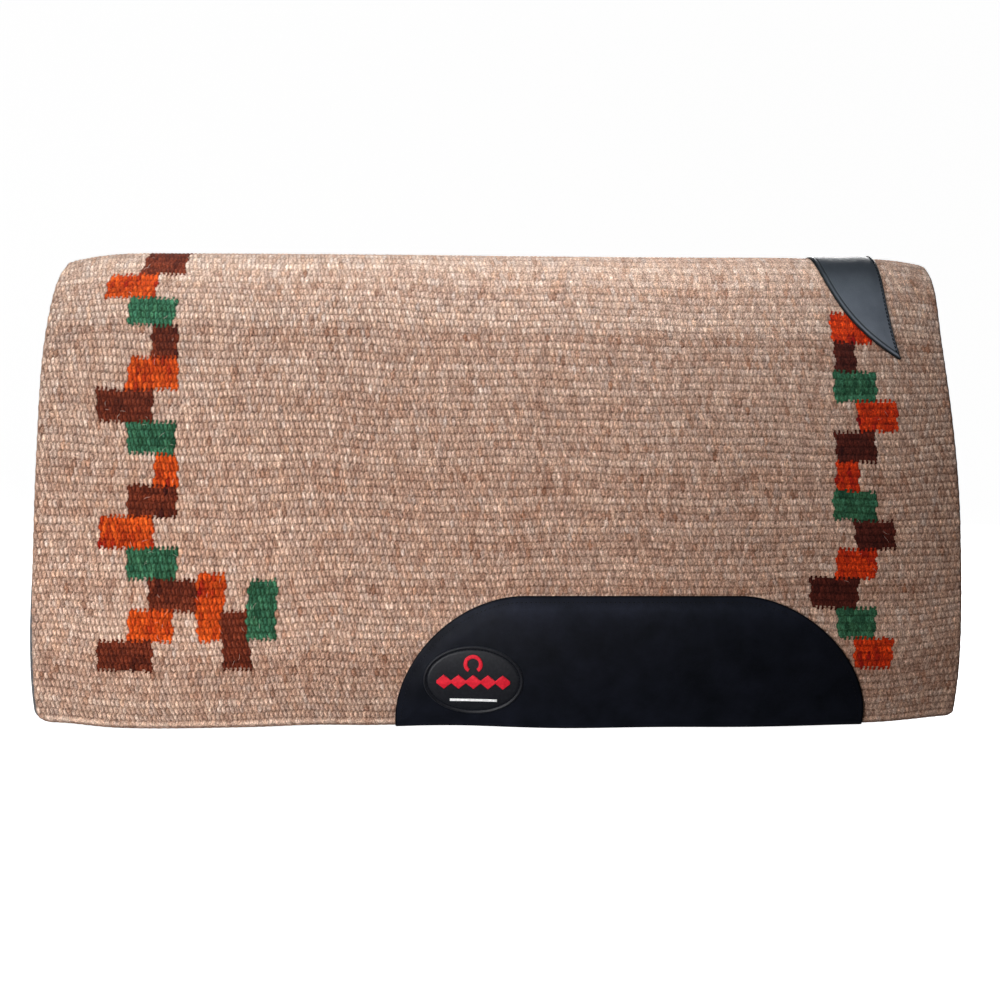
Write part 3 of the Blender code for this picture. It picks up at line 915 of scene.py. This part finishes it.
def stitches(name, seam, h, size, thread):
    """A row of separate stitches: each a short bowed strand that dips into its holes."""
    u, t, du, dt = seam
    length, radius = size
    way = np.linspace(-1.0, 1.0, STITCH_RINGS + 1)
    run_u = (du - STITCH_SLANT * dt)[:, None] * way * length / 2
    run_t = (dt + STITCH_SLANT * du)[:, None] * way * length / 2
    bow = np.broadcast_to(h + radius * (STITCH_RAISE - STITCH_DIP * way**2), run_u.shape)
    girth = radius * np.sqrt(np.maximum(STITCH_END, 1.0 - way**4))
    return strands(name, u[:, None] + run_u, t[:, None] + run_t, bow, girth, STITCH_SIDES, thread)


# ---- loose wool

FIBRES = 700  # on each side
FIBRE_LENGTH = (0.003, 0.008)
FIBRE_CURL = 0.7
FIBRE_GIRTH = 0.00011
FIBRE_LOW, FIBRE_HIGH = 0.0003, 0.0013
FIBRE_RISE = (0.4, 1.0)
FIBRE_POINTS, FIBRE_SIDES = 5, 3
CLEAR = 0.012  # loose wool keeps this far from hems and leathers


def loose_places(rng):
    """Random places on a side that no leather covers, as (u, s)."""
    u = rng.uniform(REAR_X + CLEAR, FRONT_X - CLEAR, FIBRES)
    s = rng.uniform(CLEAR, DROP - 2 * CLEAR, FIBRES)
    wear_low, wear_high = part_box("near_wear_leather")
    wither_low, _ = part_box("near_wither_leather")
    beside = (u > wear_low[0] - CLEAR) & (u < wear_high[0] + CLEAR)
    by_wear = beside & (s > distance_at(wear_high[2]) - CLEAR)
    by_wither = (u > WITHER_REAR - CLEAR) & (s < distance_at(wither_low[2]) + CLEAR)
    free = ~(by_wear | by_wither)
    return u[free], s[free]


def loose_wool(word, side, material):
    """Fine curled fibres that stand a little off the weave."""
    rng = np.random.default_rng(SEED + 3 + side)
    u, s = loose_places(rng)
    way = np.linspace(-0.5, 0.5, FIBRE_POINTS)[None, :]
    length = rng.uniform(*FIBRE_LENGTH, u.shape)[:, None]
    heading = rng.uniform(0.0, np.pi, u.shape)[:, None]
    curl = rng.uniform(-FIBRE_CURL, FIBRE_CURL, u.shape)[:, None]
    run, lean = length * way, length * curl * (way**2 - 0.25)
    path_u = u[:, None] + run * np.cos(heading) - lean * np.sin(heading)
    path_s = s[:, None] + run * np.sin(heading) + lean * np.cos(heading)
    rise = rng.uniform(*FIBRE_RISE, u.shape)[:, None] * (1.0 - 4.0 * way**2)
    h = FIBRE_LOW + (FIBRE_HIGH - FIBRE_LOW) * rise
    girth = FIBRE_GIRTH * (1.0 - 3.0 * way[0] ** 2)
    piece = strands(word + "_loose_wool", path_u, side * path_s, h, girth, FIBRE_SIDES, material)
    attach(piece, word + "_side")


# ---- the label

LABEL_POINTS = 128
LABEL_RAISE = 0.0013  # it sits this much higher than the CAD's
LABEL_FIELD, LABEL_GROOVE = 0.0019, 0.0013
LABEL_PROFILE = (  # inset from the edge, and height above the lower side
    (-0.0006, 0.0000), (-0.0012, 0.0006), (-0.0012, 0.0014), (-0.0008, 0.0022), (-0.0001, 0.0026),
    (0.0006, 0.0024), (0.0011, 0.0017), (0.0017, LABEL_GROOVE), (0.0026, LABEL_GROOVE), (0.0032, 0.0018),
    *((inset, LABEL_FIELD) for inset in (0.0042, 0.0120, 0.0190, 0.0260, 0.0300)),
)
INLAY_TOP, INLAY_ROUND, INLAY_SUNK = 0.0009, 0.0004, 0.0004
INLAY_PROFILE = (  # inset from the outline, and height above the field
    (0.0, -INLAY_SUNK), (0.0, INLAY_TOP - INLAY_ROUND),
    (0.3 * INLAY_ROUND, INLAY_TOP - 0.3 * INLAY_ROUND), (INLAY_ROUND, INLAY_TOP),
)
OUTLINE_STEP = 0.0012
HORSESHOE_WIDTH, HORSESHOE_ENDS, HORSESHOE_POINTS = 0.0034, (-55.0, 235.0), 40
DIAMONDS, DIAMOND_NECK = 5, 0.0012


def ellipse_ring(inset):
    """(u, t) round the label, this far inside its edge."""
    low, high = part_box("label_patch")
    angle = np.linspace(0.0, 2 * np.pi, LABEL_POINTS, endpoint=False)
    u = (low[0] + high[0]) / 2 + ((high[0] - low[0]) / 2 - inset) * np.cos(angle)
    z = (low[2] + high[2]) / 2 + ((high[2] - low[2]) / 2 - inset) * np.sin(angle)
    return u, -distance_at(z + LABEL_RAISE)


def label_patch(material):
    """The moulded oval: a round raised rim, a groove for the seam and a flat field."""
    rings = [place(*ellipse_ring(inset), LABEL_LOW + height) for inset, height in LABEL_PROFILE]
    return stacked("label_rubber", rings, material)


def inlay(name, x, z, material):
    """A raised coloured shape on the label, from its (x, z) outline, with a rounded upper edge."""
    u, t = x, -distance_at(z + LABEL_RAISE)
    if np.sum(u * np.roll(t, -1) - np.roll(u, -1) * t) < 0:
        u, t = u[::-1], t[::-1]
    out_u, out_t = outward(u, t)
    field = LABEL_LOW + LABEL_FIELD
    rings = [place(u - out_u * inset, t - out_t * inset, field + height) for inset, height in INLAY_PROFILE]
    return stacked(name, rings, material)


def spread(x, z):
    """A closed outline with extra points along its sides."""
    xs, zs = [], []
    for ax, az, bx, bz in zip(x, z, np.roll(x, -1), np.roll(z, -1)):
        count = max(1, round(math.hypot(bx - ax, bz - az) / OUTLINE_STEP))
        way = np.arange(count) / count
        xs.append(ax + (bx - ax) * way)
        zs.append(az + (bz - az) * way)
    return np.concatenate(xs), np.concatenate(zs)


def horseshoe_outline():
    low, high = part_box("label_emblem")
    outer = (high[0] - low[0]) / 2
    x, z = (low[0] + high[0]) / 2, high[2] - outer
    angle = np.radians(np.linspace(*HORSESHOE_ENDS, HORSESHOE_POINTS))
    angle = np.append(angle, angle[::-1])
    radius = np.repeat([outer, outer - HORSESHOE_WIDTH], HORSESHOE_POINTS)
    return x + radius * np.cos(angle), z + radius * np.sin(angle)


def diamonds_outline():
    low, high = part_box("label_diamonds")
    corners = 2 * DIAMONDS + 1
    xs = np.linspace(low[0], high[0], corners)
    half = np.where(np.arange(corners) % 2, (high[2] - low[2]) / 2, DIAMOND_NECK)
    z = (low[2] + high[2]) / 2
    return spread(np.concatenate([xs, xs[::-1]]), np.concatenate([z - half, z + half[::-1]]))


def line_outline():
    low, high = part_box("label_line")
    return spread([low[0], high[0], high[0], low[0]], [low[2], low[2], high[2], high[2]])


# ---- put together

def make_wear(word, side, material, thread):
    panel = leather(word + "_wear_panel", *wear_grid(side), WEAR_TOP, material, WEAR_PUFF, WEAR_ROLL)
    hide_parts(word + "_wear_leather")
    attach(panel, word + "_side")
    near_u, near_t = wear_grid(NEAR)  # the off side's seam mirrors the near side's
    path_u, path_t = (path[WEAR_COLUMNS - 1:] for path in inset_path(near_u, near_t, WEAR_SEAM))
    above = path_t > near_t.min() + WEAR_SEAM
    u, t, du, dt = along(path_u[above], path_t[above], WEAR_SPACING)
    seam = u, -side * t, du, -side * dt
    row = stitches(word + "_wear_stitches", seam, WEAR_TOP, WEAR_STITCH, thread)
    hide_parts(word + "_wear_thread")
    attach(row, word + "_side")


def make_wither(material, thread):
    u, t = wither_grid()
    panel = fold(leather("wither_panel", u, t, WITHER_TOP, material, WITHER_PUFF, WITHER_ROLL))
    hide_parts("near_wither_leather", "off_wither_leather")
    wide = u[:, -1] - u[:, 0] > 3 * WITHER_SEAM
    seam = along((u[:, -1] - WITHER_SEAM)[wide], t[wide, 0], WITHER_SPACING)
    row = fold(stitches("wither_stitches", seam, WITHER_TOP + WITHER_STITCH_RAISE, WITHER_STITCH, thread))
    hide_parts("near_wither_thread", "off_wither_thread")


def make_label():
    rubber = rubber_material("label_rubber", linear(18, 19, 24), 0.5)
    red = rubber_material("label_red", linear(190, 22, 40), 0.6)
    white = rubber_material("label_white", linear(222, 222, 222), 0.5)
    patch = label_patch(rubber)
    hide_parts("label_patch")
    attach(patch, "near_side")
    shapes = (
        ("label_horseshoe", horseshoe_outline(), red, "label_emblem", "label_red"),
        ("label_diamond_band", diamonds_outline(), red, "label_diamonds", "label_red"),
        ("label_bar", line_outline(), white, "label_line", "label_white"),
    )
    for name, (x, z), material, node, slot in shapes:
        shape = inlay(name, x, z, material)
        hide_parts(node)
        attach(shape, "near_side")
    seam = along(*ellipse_ring(LABEL_SEAM), LABEL_SPACING, closed=True)
    thread = thread_material("label_thread", linear(20, 20, 24))
    row = stitches("label_stitches", seam, LABEL_LOW + LABEL_GROOVE, LABEL_STITCH, thread)
    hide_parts("label_thread")
    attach(row, "near_side")


# ---- studio

FLOOR_RADIUS, FLOOR_BEND, WALL_HEIGHT = 4.5, 1.2, 7.0
FLOOR_LEVEL = -0.002  # the hems hang a little below the CAD's
FLOOR_HOLE = 0.001
FLOOR_STEPS, FLOOR_TURNS = 16, 96
FLOOR_GLOW = 0.94
WHITE = (1.0, 1.0, 1.0)
AIR_GLOW = 0.05

# Lamps: where they stand, what they aim at, their size and power, then the spot's cone or a panel's colour
KEY = ("key", (-0.9, -1.7, 1.05), (-0.235, -0.1, 0.26), 0.22, 63.0, 41.0)
PANELS = (
    ("overhead", (-0.07, -0.150, 0.60), (-0.07, -0.05, 0.42), (0.92, 0.10), 1.95, (0.85, 1.0, 1.09)),
    ("low_fill", (-0.38, -0.75, 0.05), (-0.15, -0.1, 0.05), (0.6, 0.3), 8.1),
    ("inner_fill", (0.0, 0.0, 0.01), (0.0, 0.0, 0.4), (0.7, 0.06), 1.2),
    ("rear_fill", (0.9, 1.8, 1.4), (0.0, 0.1, 0.2), (1.2, 1.2), 70.0),
)

CAMERA_LENS, CAMERA_SENSOR = 42.0, 36.0  # millimetres
CAMERA_AIM = (0.004, -0.1136, 0.2108)
CAMERA_RAISED, CAMERA_REACH = 3.0, 1.05  # degrees above level, and metres from what it aims at


def make_studio():
    """A pale round floor that curves up into a wall on every side."""
    angle = np.linspace(0.0, np.pi / 2, FLOOR_STEPS)
    curve_out, curve_up = FLOOR_RADIUS + FLOOR_BEND * np.sin(angle), FLOOR_BEND * (1.0 - np.cos(angle))
    out = np.concatenate([[FLOOR_HOLE], curve_out, [FLOOR_RADIUS + FLOOR_BEND]])
    up = np.concatenate([[0.0], curve_up, [WALL_HEIGHT]])
    turns = np.linspace(0.0, 2 * np.pi, FLOOR_TURNS + 1)
    verts = [(a * math.cos(b), a * math.sin(b), FLOOR_LEVEL + c) for a, c in zip(out, up) for b in turns]
    n = Nodes("studio_white")
    n.shader.inputs["Emission Color"].default_value = (*WHITE, 1.0)
    n.shader.inputs["Emission Strength"].default_value = FLOOR_GLOW
    white = n.finish(linear(246, 246, 246), 0.9)
    floor = make_object("studio_floor", verts, grid_faces(len(out), FLOOR_TURNS + 1, flipped=True), white)
    floor.visible_diffuse = floor.visible_glossy = False  # it throws no light back on the pad


def stand(data, at, aim):
    """Puts up a lamp or the camera and aims it."""
    piece = bpy.data.objects.new(data.name, data)
    bpy.context.scene.collection.objects.link(piece)
    piece.location = at
    piece.rotation_euler = (Vector(aim) - Vector(at)).to_track_quat("-Z", "Y").to_euler()
    return piece


def make_panel(name, at, aim, size, power, colour=WHITE):
    data = bpy.data.lights.new(name, "AREA")
    data.shape, data.color, data.energy = "RECTANGLE", colour, power
    data.size, data.size_y = size
    stand(data, at, aim).visible_camera = False


def make_spot(name, at, aim, size, power, cone):
    """A soft spot that fades from its middle to the edge of its cone."""
    data = bpy.data.lights.new(name, "SPOT")
    data.shadow_soft_size, data.spot_size = size, math.radians(cone)
    data.spot_blend, data.energy = 1.0, power
    stand(data, at, aim).visible_camera = False


def make_lights():
    world = bpy.data.worlds.new("studio_air")
    world.use_nodes = True
    air = world.node_tree.nodes["Background"]
    air.inputs["Color"].default_value = (*WHITE, 1.0)
    air.inputs["Strength"].default_value = AIR_GLOW
    bpy.context.scene.world = world
    make_spot(*KEY)
    for panel in PANELS:
        make_panel(*panel)


def make_camera():
    data = bpy.data.cameras.new("camera")
    data.lens, data.sensor_width = CAMERA_LENS, CAMERA_SENSOR
    aim, raised = Vector(CAMERA_AIM), math.radians(CAMERA_RAISED)
    at = aim + Vector((0.0, -math.cos(raised), math.sin(raised))) * CAMERA_REACH
    bpy.context.scene.camera = stand(data, at, aim)


make_camera()
make_studio()
make_lights()
bpy.context.scene.view_settings.view_transform = "Standard"

make_felt()
make_blanket()
black = leather_material(
    "black_leather", linear(12, 14, 19), linear(20, 22, 30), (0.44, 0.58), 0.055, WEAR_PAINTED_SHEEN
)
slate = leather_material(
    "slate_leather", linear(76, 78, 84), linear(88, 90, 96), (0.46, 0.58), 0.16, WITHER_PAINTED_SHADE, ROLLED_EDGE_SHADE
)
seam_thread = thread_material("seam_thread", linear(10, 11, 17))
for word, side in SIDES:
    make_wear(word, side, black, seam_thread)
make_wither(slate, seam_thread)
for word, side in SIDES:
    loose_wool(word, side, thread_material("loose_wool", linear(216, 196, 180)))
make_label()
